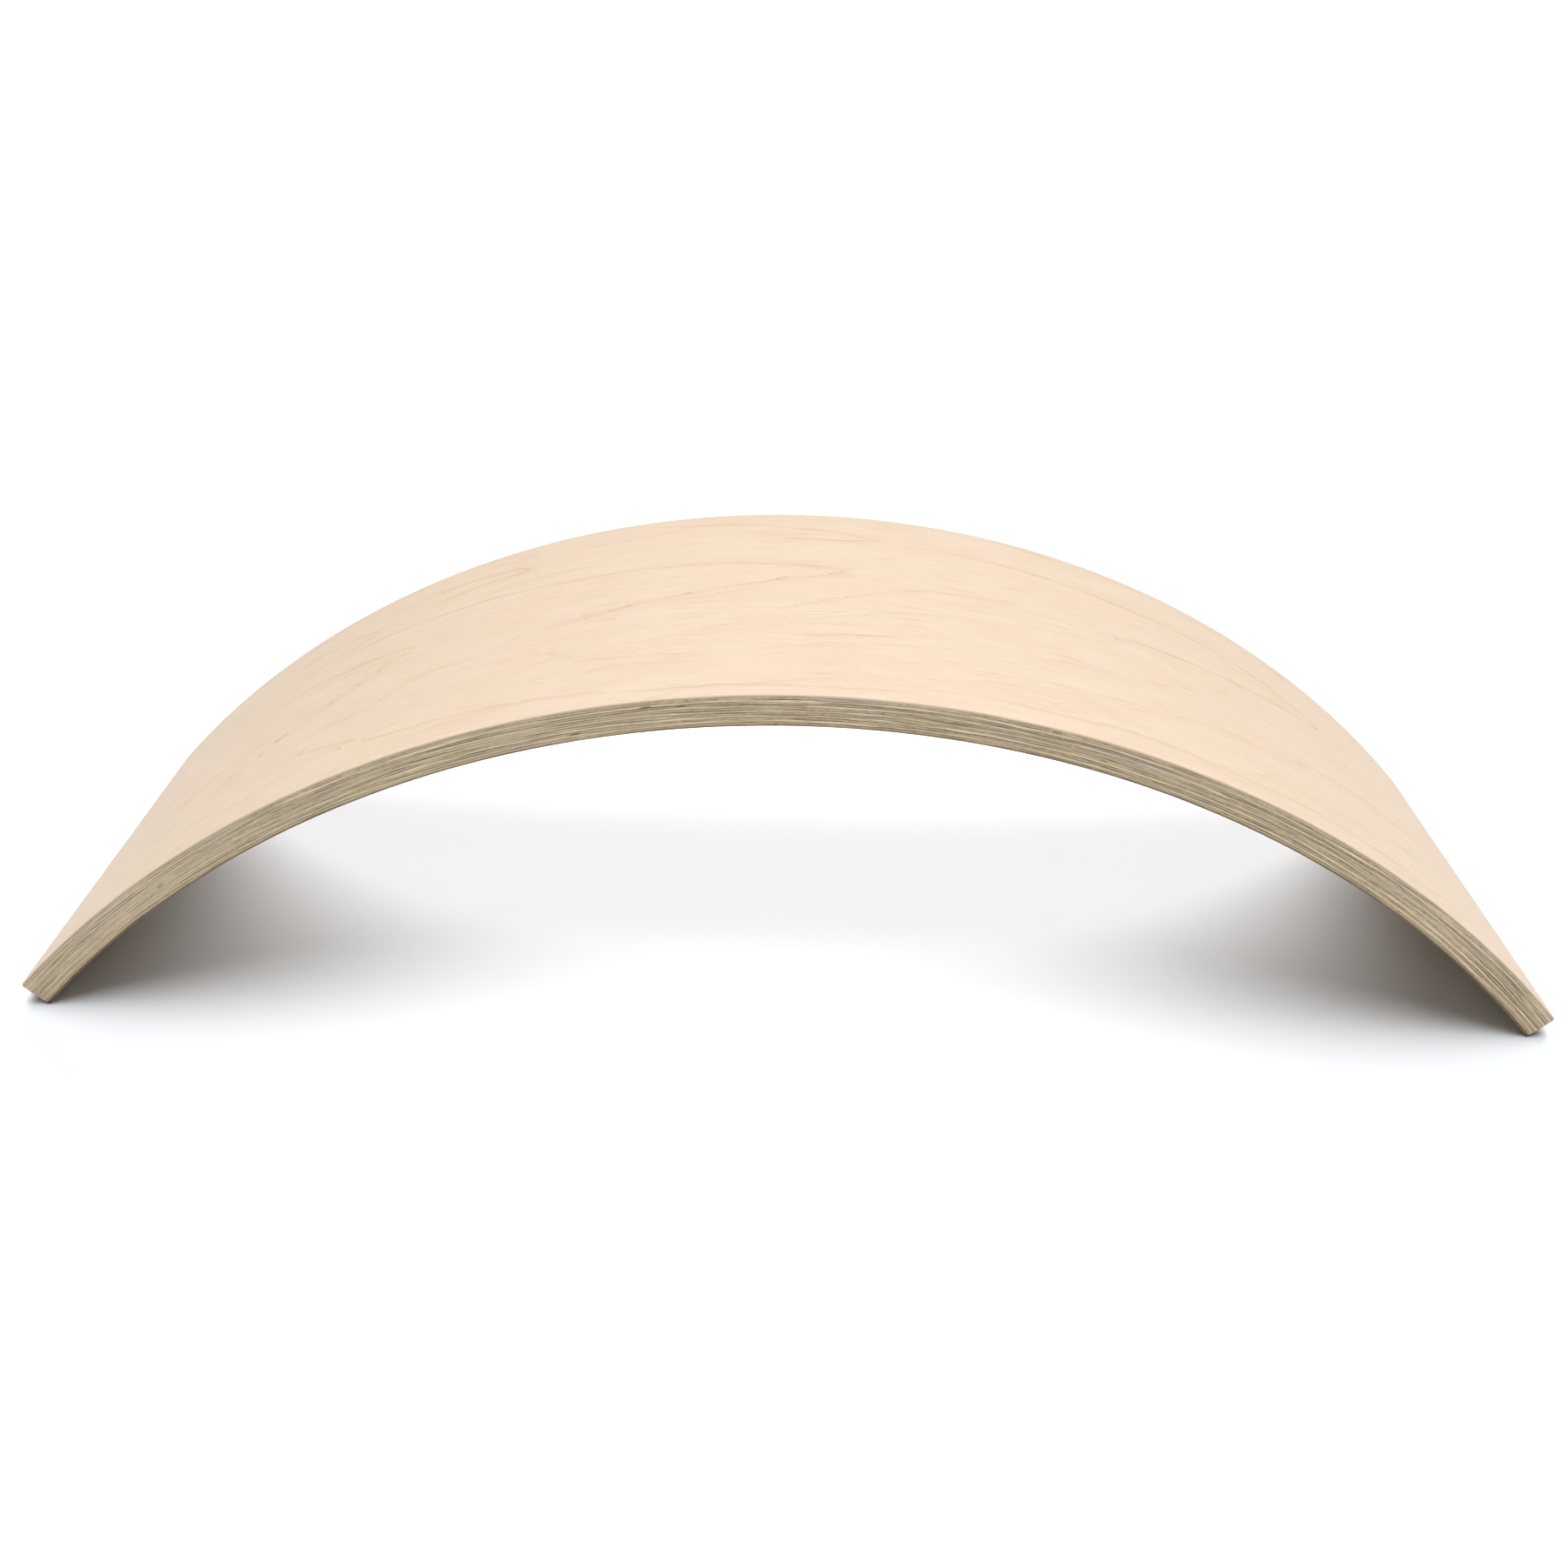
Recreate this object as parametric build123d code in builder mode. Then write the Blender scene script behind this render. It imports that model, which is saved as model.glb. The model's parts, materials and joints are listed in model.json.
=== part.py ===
"""Balance board: one moulded plywood arch, pressed from thin veneers over a curved form.

The board stands on its two ends, curved side up.  +X runs along its length, +Y across its
width and +Z up.  The origin is on the floor, under the middle of the arch.

Thirteen veneers of one thickness are bonded by twelve glue lines.  The odd veneers have their
grain along the board and the even ones across it, so both faces are long-grain.  All of them
share one bending axis, the line of arc_centre along Y, so each layer is a band of a cylinder
wall.  The veneers are pressed oversize.  The blank is then cut off square to its own curve at
both ends, its four corners are eased and its edges are rounded over, so the outermost layers
are a little smaller than the rest.
"""

import os
from math import cos, radians, sin

from build123d import *

# Driving dimensions, in millimetres and degrees.
board_length = 900.0  # overall, over the rounded ends
board_width = 300.0
half_angle = 47.7  # from the crest of the arch to either end
veneer_count = 13
veneer_thickness = 1.38
glue_thickness = 0.10
edge_radius = 2.2  # round-over along every edge of both faces
corner_radius = 4.0  # the four corners, seen square to a face
blank_width = 320.0  # the pressed blank, before it is cut to the finished outline
blank_half_angle = 49.0

# Derived sizes.
glue_count = veneer_count - 1
layer_pitch = veneer_thickness + glue_thickness
board_thickness = veneer_count * veneer_thickness + glue_count * glue_thickness
end_sine = sin(radians(half_angle))
end_cosine = cos(radians(half_angle))

# A square corner that is rounded over loses this much of its reach, along X and along Z alike.
rounding_loss = edge_radius * (end_sine + end_cosine - 1)
outer_radius = (board_length / 2 + rounding_loss) / end_sine
inner_radius = outer_radius - board_thickness

# The bending axis, in the XZ plane: it is placed so that the rounded inner corners touch the floor.
arc_centre = (0, -inner_radius * end_cosine - rounding_loss)


def band(radius_outside, radius_inside, reach):
    """The side view of an arch between two radii, cut off radially at reach degrees each side."""
    with BuildSketch(Plane.XZ) as side_view:
        with BuildLine():
            top = CenterArc(arc_centre, radius_outside, 90 - reach, 2 * reach)
            bottom = CenterArc(arc_centre, radius_inside, 90 - reach, 2 * reach)
            Line(top @ 0, bottom @ 0)
            Line(top @ 1, bottom @ 1)
        make_face()
    return side_view.sketch


# The finished outside of the whole board, which trims every layer.  It isn't a piece of its own.
with BuildPart() as outline:
    extrude(band(outer_radius, inner_radius, half_angle), amount=board_width / 2, both=True)
    thickness_edges = outline.edges().filter_by(
        lambda edge: abs(edge.length - board_thickness) < veneer_thickness
    )
    fillet(thickness_edges, radius=corner_radius)
    curved_faces = outline.faces().filter_by(GeomType.CYLINDER).sort_by(SortBy.AREA)[-2:]
    fillet(curved_faces.edges(), radius=edge_radius)


def veneer_name(number):
    """Veneers count from 1 at the outer, convex face; an odd one has its grain along the board."""
    if number == 1:
        return "outer_face_veneer"
    if number == veneer_count:
        return "inner_face_veneer"
    grain = "long" if number % 2 else "cross"
    return f"{grain}_veneer_{number:02d}"


def write_layer(name, radius_outside, thickness):
    """One layer of the blank, cut to the finished outline, as its own STEP file."""
    pressed_layer = band(radius_outside, radius_outside - thickness, blank_half_angle)
    with BuildPart() as layer:
        extrude(pressed_layer, amount=blank_width / 2, both=True)
        add(outline.part, mode=Mode.INTERSECT)
    layer.part.label = name
    export_step(layer.part, f"parts/{name}.step")


os.makedirs("parts", exist_ok=True)

for number in range(1, veneer_count + 1):
    veneer_outside = outer_radius - (number - 1) * layer_pitch
    write_layer(veneer_name(number), veneer_outside, veneer_thickness)

# Glue line n lies under veneer n.
for number in range(1, glue_count + 1):
    glue_outside = outer_radius - number * layer_pitch + glue_thickness
    write_layer(f"glue_line_{number:02d}", glue_outside, glue_thickness)
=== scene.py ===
"""Looks of the balance board: a moulded plywood arch with a maple face and bare, sanded ply edges.

Every veneer and every glue line of the CAD frame is replaced by a finer mesh of the same shape,
whose edge carries the small relief that sanding leaves.  Lengths are metres, in the frame's own
axes, except inside the materials, whose pattern coordinates are millimetres.
"""

import json
import math

import bpy
import numpy as np
from mathutils import Matrix, Vector


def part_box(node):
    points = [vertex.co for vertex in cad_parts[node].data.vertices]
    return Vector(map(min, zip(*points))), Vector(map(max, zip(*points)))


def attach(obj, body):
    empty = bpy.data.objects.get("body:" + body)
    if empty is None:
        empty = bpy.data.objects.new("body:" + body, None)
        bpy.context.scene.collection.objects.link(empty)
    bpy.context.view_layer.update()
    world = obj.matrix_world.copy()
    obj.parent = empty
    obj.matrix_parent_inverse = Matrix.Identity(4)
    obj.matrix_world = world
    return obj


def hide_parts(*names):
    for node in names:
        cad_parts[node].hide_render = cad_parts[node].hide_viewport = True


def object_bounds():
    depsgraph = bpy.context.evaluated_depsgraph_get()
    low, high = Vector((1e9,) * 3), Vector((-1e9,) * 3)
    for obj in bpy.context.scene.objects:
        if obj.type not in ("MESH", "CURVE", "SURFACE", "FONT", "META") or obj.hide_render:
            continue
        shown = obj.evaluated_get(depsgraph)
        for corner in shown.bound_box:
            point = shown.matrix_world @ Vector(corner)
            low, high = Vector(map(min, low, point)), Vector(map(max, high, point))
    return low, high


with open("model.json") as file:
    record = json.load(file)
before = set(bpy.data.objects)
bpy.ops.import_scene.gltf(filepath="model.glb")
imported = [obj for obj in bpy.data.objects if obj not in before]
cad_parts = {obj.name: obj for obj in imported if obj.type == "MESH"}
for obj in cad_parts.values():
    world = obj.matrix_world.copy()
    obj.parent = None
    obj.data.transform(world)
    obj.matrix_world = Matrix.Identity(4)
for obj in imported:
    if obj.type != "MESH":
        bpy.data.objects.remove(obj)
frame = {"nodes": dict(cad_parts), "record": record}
cad_low, cad_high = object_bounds()

MM = 0.001

# ---------------------------------------------------------------- the board's own sizes

half_angle = math.radians(47.7)  # from the crest to either end
edge_radius = 2.2 * MM  # round-over along both faces
corner_radius = 4.0 * MM  # the four corners, seen square to a face
glue_thickness = 0.10 * MM

board_length = cad_high.x - cad_low.x
board_width = cad_high.y - cad_low.y
rounding_loss = edge_radius * (math.sin(half_angle) + math.cos(half_angle) - 1)
outer_radius = (board_length / 2 + rounding_loss) / math.sin(half_angle)

veneer_names = sorted(
    (name for name in frame["nodes"] if not name.startswith("glue_line")),
    key=lambda name: -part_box(name)[1].z,
)
glue_names = sorted(name for name in frame["nodes"] if name.startswith("glue_line"))
veneer_count = len(veneer_names)


def crest_depth(name):
    """How far a node's upper side lies under the board's convex face."""
    return cad_high.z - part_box(name)[1].z


layer_pitch = crest_depth(veneer_names[-1]) / (veneer_count - 1)
veneer_thickness = layer_pitch - glue_thickness
board_thickness = veneer_count * layer_pitch - glue_thickness

# Height of the bending axis, below the floor: the rounded inner corners touch the floor.
axis_z = -(outer_radius - board_thickness) * math.cos(half_angle) - rounding_loss


# ---------------------------------------------------------------- meshes

MIDDLE_COLUMNS = 560  # along the arch, between the corner zones
CORNER_COLUMNS = 8  # round each of the four corners
ROWS = 14  # across the board
ROUNDED_LEVELS = 7  # through a layer that carries the round-over
FLAT_LEVELS, FILM_LEVELS = (0, 0.15, 0.5, 0.85, 1), (0, 0.5, 1)  # through a veneer or a glue line
SHARP_ANGLE = math.radians(35)
NOISE_SPACING = 2.5  # rim points from one knot of the sanded edge's roughness to the next
WANDER_FADE = 3.0 * MM  # the plies stray fully only this far under a face
# Each wave: length in metres, size in mm, turn per mm of depth, turn per mm across, and start.
WANDER_WAVES = (
    (0.131, 0.17, 0.45, 0.011, 0.3),
    (0.067, 0.13, 0.80, -0.017, 2.1),
    (0.036, 0.09, 1.20, 0.023, 4.4),
    (0.019, 0.05, 1.90, 0.031, 1.2),
)
GAP_DEPTH = 0.8 * MM
# Gaps in the core, open at the front edge: ply number, place along the bend and length in metres.
CORE_GAPS = (
    (7, -0.388, 0.002),
    (10, -0.122, 0.003),
    (3, -0.081, 0.003),
    (4, -0.062, 0.003),
    (2, 0.142, 0.003),
    (8, 0.172, 0.003),
    (8, 0.482, 0.036),
)
relief_rng = np.random.default_rng(20)


def inset(depth):
    """How far the round-over has drawn the outline in at this depth under the convex face."""
    reach = edge_radius - min(depth, board_thickness - depth)
    if reach <= 0:
        return 0.0
    return edge_radius - math.sqrt(max(edge_radius**2 - reach**2, 0.0))


def outline(depth):
    """Angles of the columns and the half-width of the board at each, at one depth."""
    radius = outer_radius - depth
    drawn_in = inset(depth)
    reach = radius * half_angle - drawn_in
    half_width = board_width / 2 - drawn_in
    corner = corner_radius - drawn_in
    turn = np.linspace(0, math.pi / 2, CORNER_COLUMNS + 1)
    corner_along = reach - corner + corner * np.cos(turn)
    corner_across = half_width - corner + corner * np.sin(turn)
    middle_along = np.linspace(-(reach - corner), reach - corner, MIDDLE_COLUMNS + 1)[1:-1]
    along = np.concatenate([-corner_along, middle_along, corner_along[::-1]])
    across = np.concatenate([corner_across, np.full(len(middle_along), half_width), corner_across[::-1]])
    return along / radius, across


def wander(along, across, depth):
    """How far a ply strays from its even depth: a pressed veneer is never quite the same thickness.

    The two faces of the board don't stray.  The waves turn with the depth slowly enough that
    neighbouring plies never cross.
    """
    buried = np.clip(np.minimum(depth, board_thickness - depth) / WANDER_FADE, 0, 1)
    stray = np.zeros(np.broadcast(along, across).shape)
    for length, size, turn_with_depth, slant, start in WANDER_WAVES:
        phase = 2 * math.pi * along / length + turn_with_depth * depth / MM + slant * across / MM + start
        stray += size * MM * np.sin(phase)
    return stray * buried**2 * (3 - 2 * buried)


def bent(angle, across, depth):
    """Points of the bent board, from the angle off the crest, the place across and the depth."""
    radius = outer_radius - depth
    return np.stack([radius * np.sin(angle), across, axis_z + radius * np.cos(angle)], axis=-1)


def level_points(depth):
    """The whole grid of one level: columns along the board by rows across it."""
    angle, across = outline(depth)
    share = np.linspace(-1, 1, ROWS + 1)
    angles = np.repeat(angle[:, None], ROWS + 1, axis=1)
    places = across[:, None] * share[None, :]
    return bent(angles, places, depth + wander(outer_radius * angles, places, depth))


def rim_order(columns):
    """Grid places round the rim: along the front, up one end, back along the rear, down the other."""
    front = [(i, 0) for i in range(columns - 1)]
    right = [(columns - 1, j) for j in range(ROWS)]
    back = [(i, ROWS) for i in range(columns - 1, 0, -1)]
    left = [(0, j) for j in range(ROWS, 0, -1)]
    return front + right + back + left


def smooth_noise(count, spacing):
    """A closed run of random values between -1 and 1, a new one every spacing, joined by slopes."""
    knots = relief_rng.uniform(-1, 1, max(int(count / spacing), 4))
    knots = np.append(knots, knots[0])
    return np.interp(np.linspace(0, len(knots) - 1, count, endpoint=False), range(len(knots)), knots)


def gap_relief(number, along):
    """How deep the gaps in one core veneer are, at each place along its front edge."""
    relief = np.zeros(len(along))
    for ply, middle, length in CORE_GAPS:
        if ply == number:
            relief += GAP_DEPTH * np.clip(2.0 - np.abs(along - middle) / (length / 2), 0, 1)
    return relief


def inward_steps(level, rim_i, rim_j, columns):
    """Unit steps from the rim into the board: across it on the long sides and along it at the ends."""
    inward = np.zeros_like(level)
    inward[:, 1] = -np.sign(level[:, 1]) * ((rim_j == 0) | (rim_j == ROWS))
    ends = (rim_i == 0) | (rim_i == columns - 1)
    tangent = np.stack([level[:, 2] - axis_z, 0 * level[:, 0], -level[:, 0]], axis=-1)
    tangent /= np.linalg.norm(tangent, axis=1)[:, None]
    inward[ends] -= np.sign(level[ends, 0])[:, None] * tangent[ends]
    return inward / np.linalg.norm(inward, axis=1)[:, None]


def layer_mesh(name, top_depth, thickness, hollow, roughness, number=0):
    """A closed mesh of one layer.  Between its faces the edge is drawn in by hollow, unevenly.

    The attribute ply_share runs from 0 at the layer's convex side to 1 at its concave side.
    number is a veneer's place in the board, counted from the convex face, and 0 for a glue line.
    """
    if inset(top_depth) > 0 or inset(top_depth + thickness) > 0:
        shares = np.linspace(0, 1, ROUNDED_LEVELS)
    elif thickness == glue_thickness:
        shares = np.array(FILM_LEVELS)
    else:
        shares = np.array(FLAT_LEVELS)
    depths = top_depth + thickness * shares
    top, bottom = level_points(depths[0]), level_points(depths[-1])
    columns = top.shape[0]
    rim = rim_order(columns)
    rim_i = np.array([i for i, _ in rim])
    rim_j = np.array([j for _, j in rim])
    grid = np.arange(columns * (ROWS + 1)).reshape(columns, ROWS + 1)

    points = [top.reshape(-1, 3), bottom.reshape(-1, 3)]
    loops = [grid[rim_i, rim_j]]
    through = [np.zeros(grid.size), np.ones(grid.size)]
    start = 2 * grid.size
    front_along = outer_radius * outline(top_depth)[0][rim_i]
    gaps = np.where(rim_j == 0, gap_relief(number, front_along), 0)
    for share, depth in zip(shares[1:-1], depths[1:-1]):
        level = level_points(depth)[rim_i, rim_j]
        inward = inward_steps(level, rim_i, rim_j, columns)
        rough = roughness * smooth_noise(len(rim), NOISE_SPACING)
        drawn_in = hollow * 4 * share * (1 - share) + rough + gaps
        points.append(level + inward * np.maximum(drawn_in, 0)[:, None])
        through.append(np.full(len(rim), share))
        loops.append(start + np.arange(len(rim)))
        start += len(rim)
    loops.append(grid.size + grid[rim_i, rim_j])

    upper = np.stack([grid[:-1, :-1], grid[1:, :-1], grid[1:, 1:], grid[:-1, 1:]], axis=-1).reshape(-1, 4)
    lower = upper[:, ::-1] + grid.size
    walls = [
        np.stack([above, below, np.roll(below, -1), np.roll(above, -1)], axis=-1)
        for above, below in zip(loops[:-1], loops[1:])
    ]
    faces = np.concatenate([upper, lower, *walls])
    mesh = bpy.data.meshes.new(name)
    mesh.from_pydata(np.concatenate(points).tolist(), [], faces.tolist())
    ply_share = mesh.attributes.new("ply_share", "FLOAT", "POINT")
    ply_share.data.foreach_set("value", np.concatenate(through))
    mesh.polygons.foreach_set("use_smooth", [True] * len(mesh.polygons))
    mesh.set_sharp_from_angle(angle=SHARP_ANGLE)
    mesh.update()
    return mesh


# ---------------------------------------------------------------- colours

LATE_WOOD = (0.58, 0.37, 0.18)
PINK_MAPLE, YELLOW_MAPLE = (0.834, 0.668, 0.530), (0.826, 0.680, 0.536)
# Darkest and lightest colour of each rounded rim: wood on the convex face's rim; on the concave face's
# rim, wood darkened into a painted shade, since that rim faces down into the shadow under the board.
OUTER_RIM = ((0.38, 0.29, 0.19), (0.53, 0.43, 0.30))
INNER_RIM_PAINTED_SHADE = ((0.1596, 0.1044, 0.0551), (0.2226, 0.1548, 0.087))
SIDE_GRAIN = ((0.36, 0.271, 0.163), (0.725, 0.605, 0.41))
END_GRAIN = ((0.23, 0.162, 0.093), (0.495, 0.392, 0.25))
BLURRED_EDGE = (0.50, 0.402, 0.262)
GREY_PATCH, YELLOW_PATCH = (0.455, 0.37, 0.30), (0.475, 0.39, 0.232)
COOL_TINT, WARM_TINT = (0.985, 0.98, 0.995), (1.02, 1.005, 0.965)
DARK_DASH = (0.20, 0.125, 0.07)
CURED_GLUE = ((0.085, 0.06, 0.032), (0.34, 0.275, 0.18))
FLOOR_GREY = (0.3395, 0.35, 0.364)


# ---------------------------------------------------------------- materials


class Pattern:
    """A material's node tree, with one short method for each kind of step that the woods need."""

    def __init__(self, name):
        self.material = bpy.data.materials.new(name)
        self.material.use_nodes = True
        self.tree = self.material.node_tree
        self.shader = self.tree.nodes["Principled BSDF"]

    def feed(self, socket, value):
        """Links a socket to another node's output, or sets it to a plain value."""
        if isinstance(value, bpy.types.NodeSocket):
            self.tree.links.new(value, socket)
        else:
            socket.default_value = value

    def node(self, kind, *values, **settings):
        """A new node with its settings, and its first inputs fed in order."""
        made = self.tree.nodes.new(kind)
        for key, value in settings.items():
            setattr(made, key, value)
        for socket, value in zip(made.inputs, values):
            self.feed(socket, value)
        return made

    def math(self, operation, *values):
        return self.node("ShaderNodeMath", *values, operation=operation).outputs[0]

    def add(self, *values):
        total = values[0]
        for value in values[1:]:
            total = self.math("ADD", total, value)
        return total

    def times(self, *values):
        total = values[0]
        for value in values[1:]:
            total = self.math("MULTIPLY", total, value)
        return total

    def less(self, value, taken_off):
        return self.math("SUBTRACT", value, taken_off)

    def magnitude(self, value):
        return self.math("ABSOLUTE", value)

    def place(self, along, across, through=0.0):
        return self.node("ShaderNodeCombineXYZ", along, across, through).outputs[0]

    def noise(self, vector, detail, roughness):
        """Soft noise from 0 to 1, about one swell for each unit of the vector."""
        made = self.node("ShaderNodeTexNoise", noise_dimensions="3D")
        self.feed(made.inputs["Vector"], vector)
        made.inputs["Scale"].default_value = 1.0
        made.inputs["Detail"].default_value = detail
        made.inputs["Roughness"].default_value = roughness
        return made.outputs["Fac"]

    def face_noise(self, along, across, length, width, seed, detail=3.0, roughness=0.5):
        """Noise over a curved face, with swells this long along the board and this wide across."""
        vector = self.place(self.times(along, 1 / length), self.times(across, 1 / width), seed)
        return self.noise(vector, detail, roughness)

    def wood_noise(self, places, length, height, detail=3.0, roughness=0.5):
        """Noise through the wood, with swells this long along and across and this high through it."""
        along, across, depth = places
        level = self.times(depth, 1 / height)
        vector = self.place(self.times(along, 1 / length), self.times(across, 1 / length), level)
        return self.noise(vector, detail, roughness)

    def centred(self, noise, size):
        """Noise turned into a swing about zero, size from its lowest to its highest."""
        return self.times(self.less(noise, 0.5), size)

    def spread(self, value, low, high, to_low=0.0, to_high=1.0, smooth=True):
        """value from low..high to to_low..to_high, held at both ends."""
        made = self.node("ShaderNodeMapRange", value, low, high, to_low, to_high)
        made.interpolation_type = "SMOOTHSTEP" if smooth else "LINEAR"
        return made.outputs[0]

    def mix(self, share, first, second):
        made = self.node("ShaderNodeMix", data_type="RGBA")
        for socket, value in zip((made.inputs[0], made.inputs[6], made.inputs[7]), (share, first, second)):
            self.feed(socket, (*value, 1) if isinstance(value, tuple) else value)
        return made.outputs[2]

    def darken(self, colour, share):
        """colour times (1 - share), so a share below zero makes it lighter."""
        made = self.node("ShaderNodeVectorMath", colour, operation="SCALE")
        self.feed(made.inputs["Scale"], self.less(1.0, share))
        return made.outputs[0]

    def stain(self, colour, share):
        """colour turned part of the way to the brown of late wood."""
        return self.mix(share, colour, LATE_WOOD)

    def board_places(self):
        """Millimetres along the bend, across the board and below the convex face."""
        position = self.node("ShaderNodeTexCoord").outputs["Object"]
        x, y, z = self.node("ShaderNodeSeparateXYZ", position).outputs
        up = self.less(z, axis_z)
        angle = self.math("ARCTAN2", x, up)
        radius = self.math("SQRT", self.add(self.times(x, x), self.times(up, up)))
        along = self.times(angle, (outer_radius - board_thickness / 2) / MM)
        across = self.times(y, 1 / MM)
        depth = self.times(self.less(outer_radius, radius), 1 / MM)
        return along, across, depth

    def edge_share(self, face, edge):
        """0 on a curved face and 1 on a cut edge, between two values of how far the surface faces out."""
        shape = self.node("ShaderNodeNewGeometry")
        x, _, z = self.node("ShaderNodeSeparateXYZ", shape.outputs["Position"]).outputs
        radial = self.place(x, 0.0, self.less(z, axis_z))
        outward = self.node("ShaderNodeVectorMath", radial, operation="NORMALIZE").outputs[0]
        dot = self.node("ShaderNodeVectorMath", shape.outputs["Normal"], outward, operation="DOT_PRODUCT")
        return self.spread(self.magnitude(dot.outputs["Value"]), face, edge)

    def long_side_share(self):
        """1 on the front and back edges and 0 on the two ends."""
        normal = self.node("ShaderNodeNewGeometry").outputs["Normal"]
        sideways = self.node("ShaderNodeSeparateXYZ", normal).outputs["Y"]
        return self.spread(self.magnitude(sideways), 0.55, 0.85)

    def finish(self, colour, roughness, height, height_mm):
        """Sets the colour, the sheen of the lacquer and the relief, height_mm from low to high."""
        self.feed(self.shader.inputs["Base Color"], colour)
        self.feed(self.shader.inputs["Roughness"], roughness)
        bump = self.node("ShaderNodeBump")
        bump.inputs["Strength"].default_value = 1.0
        bump.inputs["Distance"].default_value = height_mm * MM
        self.feed(bump.inputs["Height"], height)
        self.feed(self.shader.inputs["Normal"], bump.outputs[0])
        return self.material


# ---------------------------------------------------------------- the figure of the maple faces

# Each ring that closes on the convex face: where its tip is, along and across the board, how far
# its middle line leans, how blunt and how flared it is, and how far it runs on the +Y and -Y sides.
CLOSED_RINGS = (
    ((30, 41), -0.13, 2.8, 0.183, 350, 178),
    ((-246, 16), -0.25, 6.6, 0.37, 105, 125),
    ((372, 66), -0.04, 6.0, 0.05, 285, 165),
    ((49, 105), 0.09, 1.6, 0.05, 150, 60),
    ((-289, 86), 0.0, 3.4, 0.10, 70, 62),
    ((-180, 104), 0.0, 1.4, 0.02, 75, 68),
)
# Loose stretches of rings on the convex face: start, end and how dark.
LOOSE_LINES = (
    ((-312, -78), (-236, -118), 0.9),
    ((-262, -112), (-80, -136), 1.0),
    ((-105, -135), (72, -138), 1.0),
    ((48, -129), (440, -125), 0.8),
    ((-20, -34), (62, 14), 0.7),
    ((50, 14), (150, 34), 0.7),
    ((-158, -48), (-118, -84), 0.6),
    ((-135, -80), (-40, -91), 0.7),
    ((-12, -66), (70, -61), 0.9),
    ((310, -48), (450, -28), 0.9),
    ((148, -38), (200, -42), 0.7),
)
# Small round flecks of bark or gum on the convex face: place and size across.
DARK_SPOTS = (
    ((297, 39), 3.2),
    ((-6, -41), 1.3),
    ((-262, -112), 2.5),
)


def growth_lines(p, along, across, seed):
    """How dark the growth rings' late wood is, from 0 to 1: one nested flame figure, wavering.

    The rings are contours of a field that falls along the board and away from the figure's
    middle line, as they are where a peeled veneer runs out of the log's rings.
    """
    flame_tip = 30.0  # where a ring closes, along the board
    flame_middle, flame_slope = 38.0, 0.09  # the figure's middle line, across the board
    ring_along, ring_across = 300.0, 47.0  # from one ring to the next
    tip_width = 24.0

    slow = p.centred(p.face_noise(along, across, 130, 55, seed, detail=1.0), 42.0)
    jagged = p.centred(p.face_noise(along, across, 34, 13, seed + 7, roughness=0.62), 15.0)
    shift = p.centred(p.face_noise(along, across, 90, 40, seed + 21, detail=2.0), 150.0)

    past_tip = p.less(p.add(along, shift), flame_tip)
    middle = p.add(p.times(past_tip, flame_slope), flame_middle)
    off = p.less(p.add(across, slow, jagged), middle)
    away = p.math("SQRT", p.add(p.times(off, off), tip_width**2))
    rings_across = p.times(p.less(away, tip_width), 1 / ring_across)
    ring = p.math("FRACT", p.less(p.times(past_tip, -1 / ring_along), rings_across))
    crisp, soft = p.math("POWER", ring, 34.0), p.math("POWER", ring, 6.0)
    drawn = p.add(p.times(crisp, 0.7), p.times(soft, 0.3))
    patchy = p.face_noise(along, across, 75, 30, seed + 40, detail=1.0)
    return p.times(drawn, p.spread(patchy, 0.36, 0.62, 0.15, 1.0))


def ring_line(p, distance):
    """Late wood beside a growth ring, darkest at distance 0 and fading on the negative side."""
    crisp = p.spread(p.magnitude(distance), 0.15, 1.0, 0.62, 0.0)
    rise = p.spread(distance, -6.0, 0.0, 0.0, 0.38, smooth=False)
    fade = p.times(rise, p.spread(distance, 0.0, 0.6, 1.0, 0.0))
    return p.add(crisp, fade)


def tongue(p, along, across, tip, lean, blunt, flare, upper_reach, lower_reach):
    """One ring that closes at a tip and opens towards -X, as a line round a pointed tongue.

    back is the distance from the tip.  The middle of the tongue leans by lean for each millimetre
    of it, and the half-width is the root of blunt * back + (flare * back)**2.
    """
    back = p.less(tip[0], along)
    off = p.less(across, p.add(p.times(back, lean), tip[1]))
    half_squared = p.add(p.times(back, blunt), p.times(back, back, flare**2))
    inside = p.less(half_squared, p.times(off, off))
    steep = p.add(p.times(back, 2 * flare**2), blunt)
    slope = p.math("SQRT", p.add(p.times(off, off, 4.0), p.times(steep, steep)))
    distance = p.math("DIVIDE", inside, slope)
    upper = p.math("GREATER_THAN", off, 0.0)
    reach = p.add(p.times(upper, upper_reach - lower_reach), lower_reach)
    seen = p.spread(p.math("DIVIDE", back, reach), 0.8, 1.1, 1.0, 0.0)
    return p.times(ring_line(p, distance), seen, p.math("GREATER_THAN", back, -6.0))


def stroke(p, along, across, start, end, strength):
    """A faint straight stretch of a ring, from one point to another, with soft ends."""
    slope = (end[1] - start[1]) / (end[0] - start[0])
    level = p.add(p.times(p.less(along, start[0]), slope), start[1])
    distance = p.less(across, level)
    fade = 0.25 * (end[0] - start[0])
    seen = p.times(
        p.spread(along, start[0], start[0] + fade, 0.0, strength),
        p.spread(along, end[0] - fade, end[0], 1.0, 0.0),
    )
    return p.times(ring_line(p, distance), seen)


def dark_spot(p, along, across, middle, size):
    """1 inside a small round fleck and 0 outside, with a soft rim."""
    from_middle = p.place(p.less(along, middle[0]), p.less(across, middle[1]))
    distance = p.node("ShaderNodeVectorMath", from_middle, operation="LENGTH").outputs["Value"]
    return p.spread(distance, 0.25 * size, 0.75 * size, 1.0, 0.0)


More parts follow.
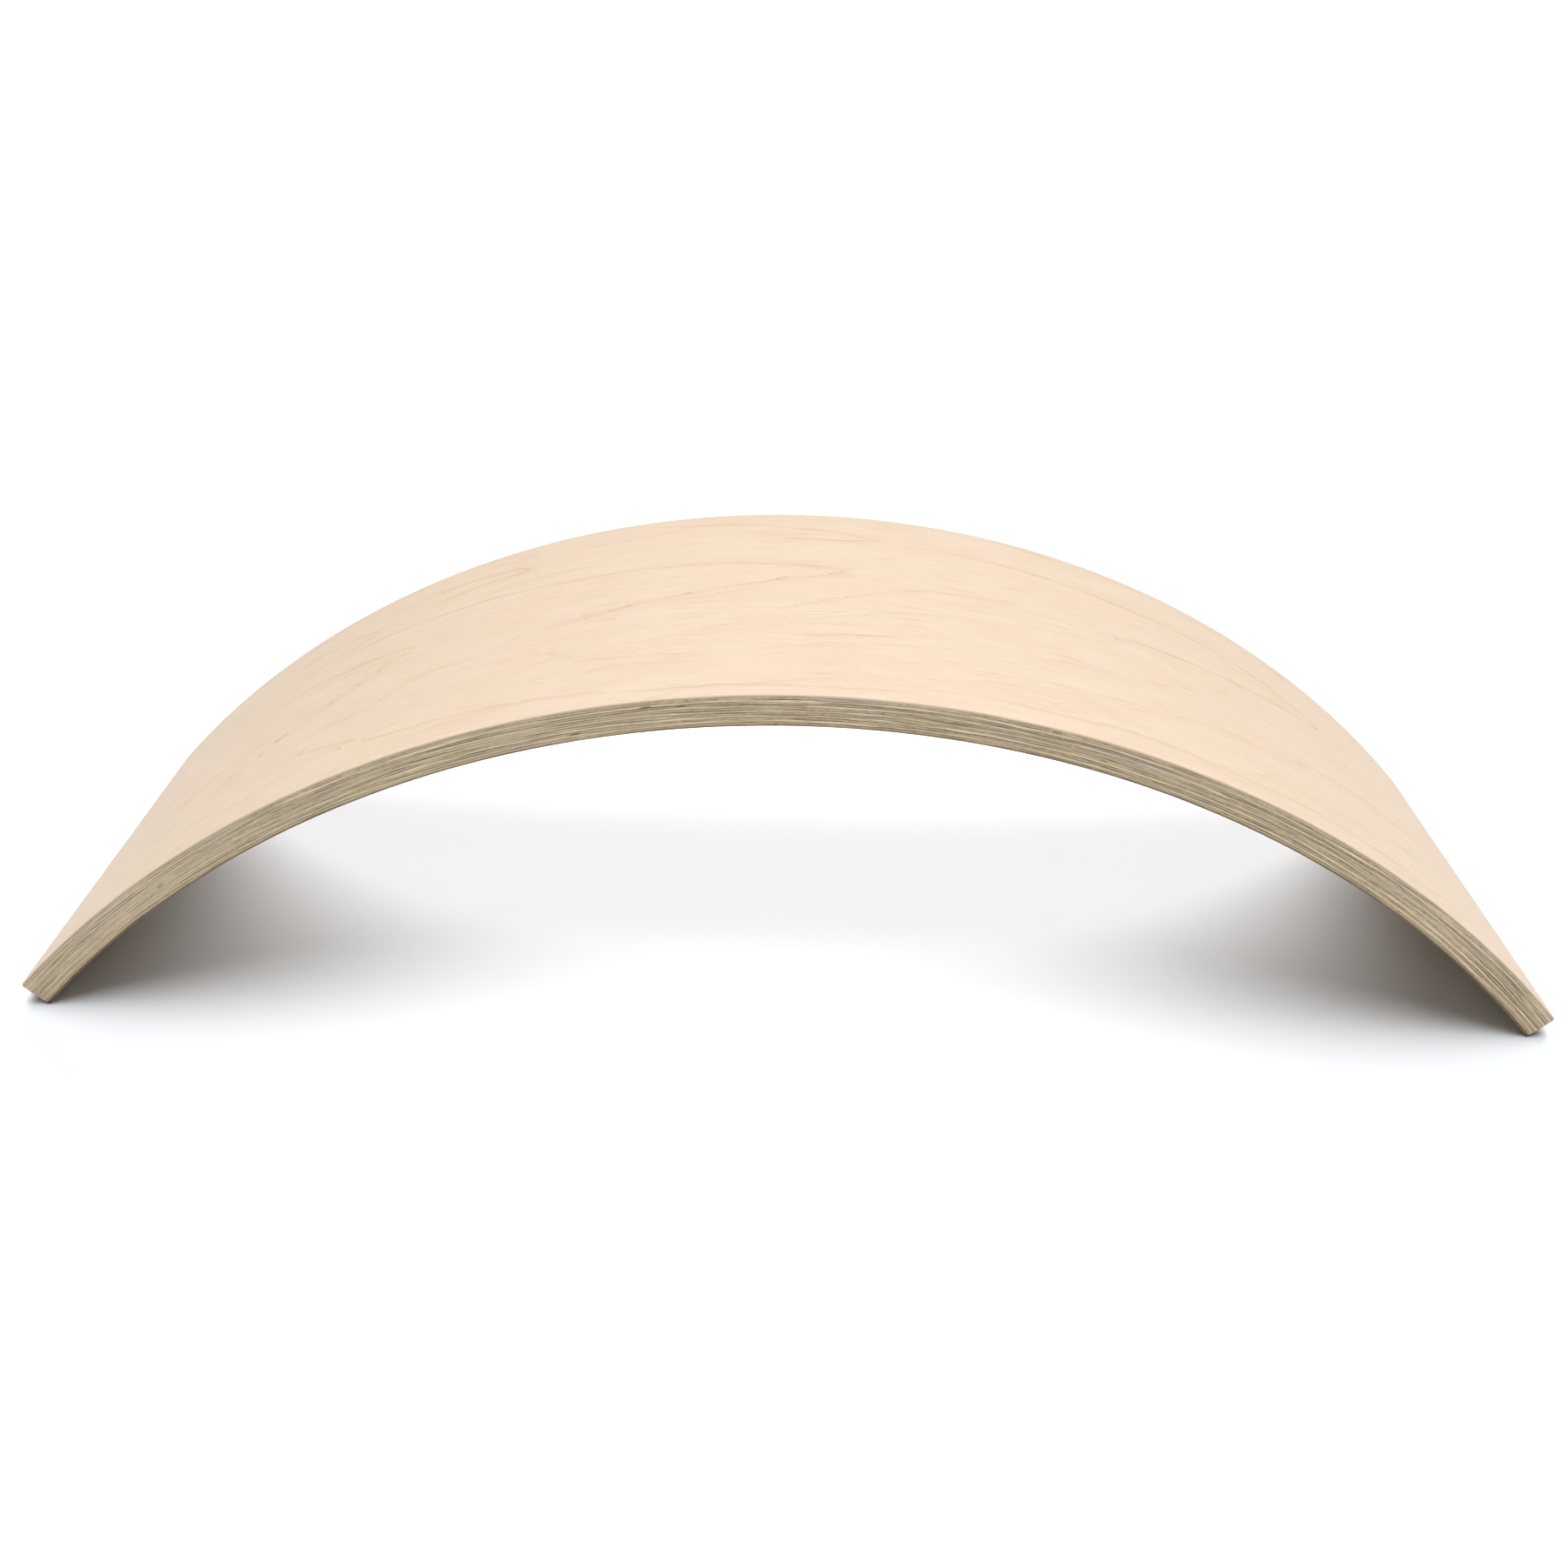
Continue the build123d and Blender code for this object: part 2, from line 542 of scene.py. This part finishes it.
def outer_figure(p, along, across):
    """The growth rings that cross the convex face: a few nested tongues and some loose stretches."""
    feather = p.centred(p.face_noise(along, across, 70, 8, 3.0, roughness=0.6), 44.0)
    sway = p.centred(p.face_noise(along, across, 48, 35, 13.0), 11.0)
    jag = p.centred(p.face_noise(along, across, 12, 9, 23.0, detail=2.0), 3.2)
    bent_along = p.add(along, feather)
    bent_across = p.add(across, sway, jag)

    lines = [tongue(p, bent_along, bent_across, *ring) for ring in CLOSED_RINGS]
    lines += [stroke(p, bent_along, bent_across, *line) for line in LOOSE_LINES]
    darkest = lines[0]
    for line in lines[1:]:
        darkest = p.math("MAXIMUM", darkest, line)
    patchy = p.face_noise(along, across, 38, 16, 33.0, detail=1.0)
    return p.times(darkest, p.spread(patchy, 0.34, 0.6, 0.6, 1.0))


def plain_maple(p, along, across, seed):
    """Maple without its growth rings: its colour, its fibres and its short dark flecks."""
    tint = p.face_noise(along, across, 110, 45, seed + 5)
    colour = p.mix(p.spread(tint, 0.36, 0.64), PINK_MAPLE, YELLOW_MAPLE)
    cloud = p.face_noise(along, across, 50, 18, seed + 15, detail=4.0, roughness=0.6)
    colour = p.stain(colour, p.spread(cloud, 0.3, 0.7, 0.0, 0.09))

    fibre = p.face_noise(along, across, 26, 0.9, seed)
    colour = p.stain(colour, p.spread(fibre, 0.3, 0.72, 0.0, 0.13))
    pore = p.face_noise(along, across, 5, 1.1, seed + 70, roughness=0.65)
    colour = p.darken(colour, p.spread(pore, 0.35, 0.65, -0.02, 0.03))
    streak = p.face_noise(along, across, 42, 2.6, seed + 9, detail=4.0, roughness=0.6)
    busy = p.face_noise(along, across, 160, 60, seed + 50, detail=1.0)
    streaked = p.times(p.spread(streak, 0.55, 0.70), p.spread(busy, 0.35, 0.6, 0.35, 1.0))
    colour = p.stain(colour, p.times(streaked, 0.33))

    fleck = p.face_noise(along, across, 9, 0.8, seed + 30, detail=1.0)
    flecked = p.spread(fleck, 0.69, 0.78)
    return p.stain(colour, p.times(flecked, 0.30)), fibre, flecked


def maple_face(name, seed, figured, rim_colours, rim_limits):
    """Lacquered maple on a curved face, turning over the rounded rim to the rim's colours: bare ply edge
    on the convex face, and a painted shade on the concave face's rim.
    """
    p = Pattern(name)
    along, across, depth = p.board_places()
    colour, fibre, flecked = plain_maple(p, along, across, seed)

    rings = growth_lines(p, along, across, seed)
    if figured:
        rings = p.math("MAXIMUM", p.times(rings, 0.45), outer_figure(p, along, across))
    colour = p.stain(colour, p.times(rings, 0.60))
    if figured:
        for middle, size in DARK_SPOTS:
            colour = p.stain(colour, p.times(dark_spot(p, along, across, middle, size), 0.7))

    rim_grain = p.wood_noise((along, across, depth), 22, 0.35, detail=4.0)
    rim = p.mix(p.spread(rim_grain, 0.3, 0.7), *rim_colours)
    colour = p.mix(p.edge_share(*rim_limits), colour, rim)

    sheen = p.spread(fibre, 0.3, 0.7, 0.60, 0.72)
    p.shader.inputs["Specular IOR Level"].default_value = 0.2
    height = p.add(p.times(fibre, 0.6), p.times(rings, -0.3), p.times(flecked, -0.5))
    return p.finish(colour, sheen, height, 0.014)


# ---------------------------------------------------------------- the sanded edge of the core


def toned(colours, tone):
    """A veneer's dark and light wood, both made lighter or darker alike."""
    return [tuple(channel * tone for channel in colour) for colour in colours]


def side_grain(p, places, tone):
    """Wood cut along its grain: long streaks that run with the board."""
    streak = p.wood_noise(places, 40, 0.5, detail=5.0, roughness=0.62)
    return p.mix(p.spread(streak, 0.36, 0.64), *toned(SIDE_GRAIN, tone)), streak


def end_grain(p, places, tone):
    """Wood cut across its grain: darker, speckled with pores and blotched."""
    speckle = p.wood_noise(places, 3.0, 0.7, detail=5.0, roughness=0.65)
    blotch = p.wood_noise(places, 30, 1.1)
    both = p.add(p.times(speckle, 0.5), p.times(blotch, 0.5))
    return p.mix(p.spread(both, 0.38, 0.62), *toned(END_GRAIN, tone)), speckle


def blurred_edge(p, places, colour):
    """The plies' colour under sanding dust and lacquer, which blur and tint it in patches."""
    along, across, depth = places
    blur = p.spread(p.wood_noise(places, 85, 5), 0.34, 0.66, 0.15, 0.9)
    less_to_the_right = p.spread(along, -260.0, 60.0, 1.0, 0.05)
    colour = p.mix(p.times(blur, less_to_the_right), colour, BLURRED_EDGE)
    patch = p.wood_noise(places, 55, 3)
    colour = p.mix(p.spread(patch, 0.54, 0.72, 0.0, 0.5), colour, GREY_PATCH)
    colour = p.mix(p.spread(patch, 0.28, 0.46, 0.4, 0.0), colour, YELLOW_PATCH)
    sink = p.centred(p.face_noise(along, across, 90, 90, 60.0), 9.0)
    tint = p.mix(p.spread(p.add(depth, sink), 4.0, 14.0), COOL_TINT, WARM_TINT)
    return p.node("ShaderNodeVectorMath", colour, tint, operation="MULTIPLY").outputs[0]


def soaked_edge(p, places, colour):
    """Glue that has soaked into the wood darkens both sides of the ply, in places."""
    share = p.node("ShaderNodeAttribute", attribute_name="ply_share").outputs["Fac"]
    from_middle = p.magnitude(p.times(p.less(share, 0.5), 2.0))
    soak = p.spread(p.wood_noise(places, 48, 1.4), 0.42, 0.62, 0.0, 0.72)
    return p.darken(colour, p.times(p.spread(from_middle, 0.45, 1.0), soak))


def ply_edge(name, long_grain, tone, grain_shift):
    """A core veneer's sanded edge: side grain on two of its sides and end grain on the other two."""
    p = Pattern(name)
    places = p.board_places()
    along, across, depth = places
    own_places = (p.add(along, grain_shift), across, depth)
    side, side_height = side_grain(p, own_places, tone)
    end, end_height = end_grain(p, own_places, tone)
    if long_grain:
        colour, grain = p.mix(p.long_side_share(), end, side), side_height
    else:
        colour, grain = p.mix(p.long_side_share(), side, end), end_height
    colour = blurred_edge(p, places, colour)
    colour = soaked_edge(p, places, colour)

    dashed = p.spread(p.wood_noise(places, 11, 0.4, detail=2.0), 0.60, 0.74)
    colour = p.mix(p.times(dashed, 0.55), colour, DARK_DASH)
    sanded = p.wood_noise(places, 4, 0.6)
    colour = p.darken(colour, p.spread(sanded, 0.3, 0.7, -0.07, 0.07))
    # The edge is painted a little lighter towards both ends: painted light, making up for the light
    # falling off there.
    colour = p.darken(colour, p.spread(p.magnitude(along), 250.0, 450.0, 0.0, -0.10))
    height = p.add(p.times(grain, 0.5), p.times(dashed, -1.0))
    return p.finish(colour, 0.55, height, 0.08)


def glue_material():
    """Cured glue between the veneers, uneven where it squeezed into the wood."""
    p = Pattern("cured_glue")
    soak = p.wood_noise(p.board_places(), 26, 1.2, detail=4.0)
    colour = p.mix(p.spread(soak, 0.40, 0.60), *CURED_GLUE)
    return p.finish(colour, 0.5, soak, 0.03)


# ---------------------------------------------------------------- the pieces

LONG_HOLLOW, CROSS_HOLLOW, GLUE_HOLLOW = 0.03 * MM, 0.07 * MM, 0.10 * MM
VENEER_ROUGHNESS, GLUE_ROUGHNESS = 0.02 * MM, 0.03 * MM
TONE_RANGE = 0.13  # a core veneer is lighter or darker than the average by up to this share
# Veneer 2 is set lighter. The veneer next to the concave face is set darker as painted shade, for the dark
# band along the board's lower edge.
SET_TONES = {2: 1.2, veneer_count - 1: 0.92}  # the two whose tone isn't left to chance
GRAIN_SHIFT = 37.0  # millimetres from one core veneer's grain pattern to the next one's


def add_piece(node, mesh, material):
    """Puts a finer layer in the place of one CAD node."""
    mesh.materials.append(material)
    piece = bpy.data.objects.new(f"{node}_detail", mesh)
    bpy.context.scene.collection.objects.link(piece)
    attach(piece, "root")
    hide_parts(node)


slot_of = {part["node"]: part["material_slot"] for part in frame["record"]["subparts"]}
tone_rng = np.random.default_rng(7)

for number, node in enumerate(veneer_names, start=1):
    drawn_tone = 1.0 + TONE_RANGE * tone_rng.uniform(-1, 1)
    tone = SET_TONES.get(number, drawn_tone)
    slot = slot_of[node]
    if number == 1:
        material = maple_face("maple_outer", 0.0, True, OUTER_RIM, rim_limits=(0.98, 0.55))
        hollow = 0.0
    elif number == veneer_count:
        # The concave face's rim gets very dark colours: painted shade, for the rim that faces down into
        # the shadow under the board.
        material = maple_face("maple_inner", 400.0, False, INNER_RIM_PAINTED_SHADE, rim_limits=(0.998, 0.94))
        hollow = 0.0
    else:
        long_grain = slot == "long_grain_core"
        material = ply_edge(f"{node}_edge", long_grain, tone, GRAIN_SHIFT * number)
        hollow = LONG_HOLLOW if long_grain else CROSS_HOLLOW
    top_depth = (number - 1) * layer_pitch
    mesh = layer_mesh(f"{node}_wood", top_depth, veneer_thickness, hollow, VENEER_ROUGHNESS, number)
    add_piece(node, mesh, material)

glue = glue_material()
for number, node in enumerate(glue_names):
    top_depth = number * layer_pitch + veneer_thickness
    mesh = layer_mesh(f"{node}_film", top_depth, glue_thickness, GLUE_HOLLOW, GLUE_ROUGHNESS)
    add_piece(node, mesh, glue)


# ---------------------------------------------------------------- floor, light and camera


def make_floor():
    """A plain studio floor that runs past the horizon of the camera's view."""
    half = 30.0
    corners = [(-half, -half, 0), (half, -half, 0), (half, half, 0), (-half, half, 0)]
    mesh = bpy.data.meshes.new("studio_floor")
    mesh.from_pydata(corners, [], [(0, 1, 2, 3)])
    floor = bpy.data.objects.new("studio_floor", mesh)
    bpy.context.scene.collection.objects.link(floor)
    p = Pattern("studio_floor")
    p.shader.inputs["Base Color"].default_value = (*FLOOR_GREY, 1)
    p.shader.inputs["Roughness"].default_value = 0.9
    p.shader.inputs["Specular IOR Level"].default_value = 0.0
    mesh.materials.append(p.material)
    return floor


def aim(light, source):
    """Turns a light so that it shines from the direction of source towards the origin."""
    light.rotation_euler = Vector(source).to_track_quat("Z", "Y").to_euler()


def soft_box(name, place, size, power):
    """A square soft box that faces the board."""
    lamp = bpy.data.lights.new(name, "AREA")
    lamp.size = size
    lamp.energy = power
    light = bpy.data.objects.new(name, lamp)
    light.location = place
    aim(light, place)
    bpy.context.scene.collection.objects.link(light)


def floor_light(name, source, spread, strength, lit):
    """A soft, even light from far away that falls only on the floor, to bring it up to white."""
    lamp = bpy.data.lights.new(name, "SUN")
    lamp.angle = math.radians(spread)
    lamp.energy = strength
    light = bpy.data.objects.new(name, lamp)
    aim(light, source)
    bpy.context.scene.collection.objects.link(light)
    light.light_linking.receiver_collection = lit


def white_surroundings(strength):
    """A studio that is plain white to look at and lights the board with this strength."""
    world = bpy.data.worlds.new("white_tent")
    bpy.context.scene.world = world
    world.use_nodes = True
    tree = world.node_tree
    background = tree.nodes["Background"]
    background.inputs["Color"].default_value = (1, 1, 1, 1)
    rays = tree.nodes.new("ShaderNodeLightPath")
    level = tree.nodes.new("ShaderNodeMapRange")
    level.inputs["To Min"].default_value = strength
    level.inputs["To Max"].default_value = 1.0
    tree.links.new(rays.outputs["Is Camera Ray"], level.inputs["Value"])
    tree.links.new(level.outputs["Result"], background.inputs["Strength"])


def make_camera():
    """Looks down on the middle of the board from in front, turned very slightly on its axis."""
    camera = bpy.data.cameras.new("camera")
    camera.sensor_width = 36.0
    camera.lens = 37.906
    body = bpy.data.objects.new("camera", camera)
    bpy.context.scene.collection.objects.link(body)
    tilt_down = math.radians(27.712)
    roll = math.radians(-1.276)
    heading = math.radians(-0.002)
    level = Matrix.Rotation(math.radians(90), 4, "X")  # a camera that looks along +Y
    turned = (
        Matrix.Rotation(heading, 4, "Z")
        @ Matrix.Rotation(-tilt_down, 4, "X")
        @ Matrix.Rotation(roll, 4, "Y")
    )
    body.matrix_world = Matrix.Translation((-0.0053, -0.9461, 0.5761)) @ turned @ level
    bpy.context.scene.camera = body


floor = make_floor()
white_surroundings(strength=0.38)
soft_box("overhead", place=(0.2, -0.35, 2.8), size=2.2, power=71.5)
floor_only = bpy.data.collections.new("lit_floor")
floor_only.objects.link(floor)
floor_light("floor_top", source=(0, -0.05, 1), spread=60, strength=5.6, lit=floor_only)
floor_light("floor_back", source=(0.03, 0.9, 0.43), spread=30, strength=14.5, lit=floor_only)
make_camera()
bpy.context.scene.view_settings.view_transform = "Standard"
